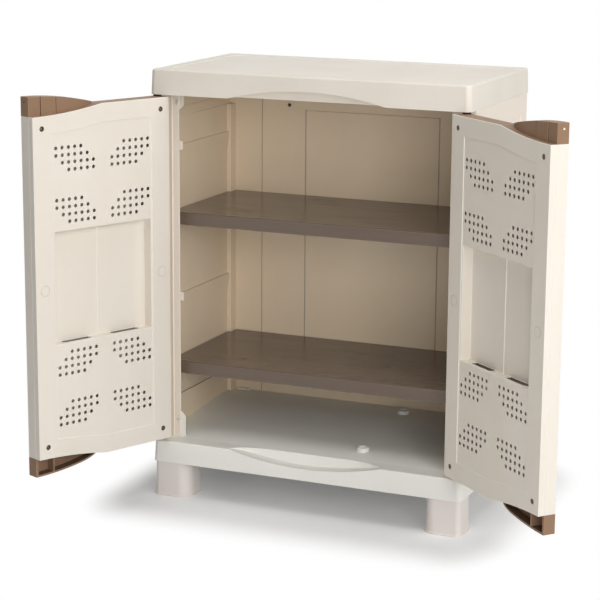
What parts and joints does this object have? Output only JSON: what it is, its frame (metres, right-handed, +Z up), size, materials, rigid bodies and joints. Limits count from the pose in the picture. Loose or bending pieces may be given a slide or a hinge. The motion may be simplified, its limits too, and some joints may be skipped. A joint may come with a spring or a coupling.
{
  "type": "garden storage cabinet",
  "caption": "Low moulded garden cabinet with a base on feet, a lid, fixed shelves and a pair of hinged doors with arched ends and perforated inner faces.",
  "frame": {"origin": "on the floor, under the middle of the carcass", "axes": "+X to the right seen from the front, +Y to the back, +Z up"},
  "size_m": [1.0856, 0.6967, 0.92],
  "materials": {
    "moulding": "fine grained matt",
    "wall": "fine grained matt",
    "door": "fine grained matt",
    "foot": "fine grained matt",
    "cap": "satin",
    "shelf": "satin, lightly streaked",
    "bush": "smooth",
    "screw": "zinc plated",
    "pin": "plain steel"
  },
  "bodies": {
    "cabinet": {"back_panel": "wall", "base": "moulding", "carcass_screws": "screw", "foot_front_left": "foot", "foot_front_right": "foot", "foot_rear_left": "foot", "foot_rear_right": "foot", "hinge_bush_left_lower": "bush", "hinge_bush_left_upper": "bush", "hinge_bush_right_lower": "bush", "hinge_bush_right_upper": "bush", "lid": "moulding", "shelf_lower": "shelf", "shelf_upper": "shelf", "side_panel_left": "wall", "side_panel_right": "wall"},
    "left_door": {"left_door_bottom_cap": "cap", "left_door_hinge_pin_lower": "pin", "left_door_hinge_pin_upper": "pin", "left_door_inner_panel": "door", "left_door_outer_panel": "door", "left_door_screws": "screw", "left_door_top_cap": "cap"},
    "right_door": {"right_door_bottom_cap": "cap", "right_door_buffer": "bush", "right_door_hinge_pin_lower": "pin", "right_door_hinge_pin_upper": "pin", "right_door_inner_panel": "door", "right_door_outer_panel": "door", "right_door_screws": "screw", "right_door_top_cap": "cap"}
  },
  "joints": [
    {"name": "left_door_swing", "type": "hinge", "parent": "cabinet", "child": "left_door", "pos_m": [-0.338, -0.183, 0.498], "axis": [0, 0, -1], "range_deg": [-114, 121]},
    {"name": "right_door_swing", "type": "hinge", "parent": "cabinet", "child": "right_door", "pos_m": [0.338, -0.183, 0.498], "axis": [0, 0, 1], "range_deg": [-140, 95]}
  ]
}
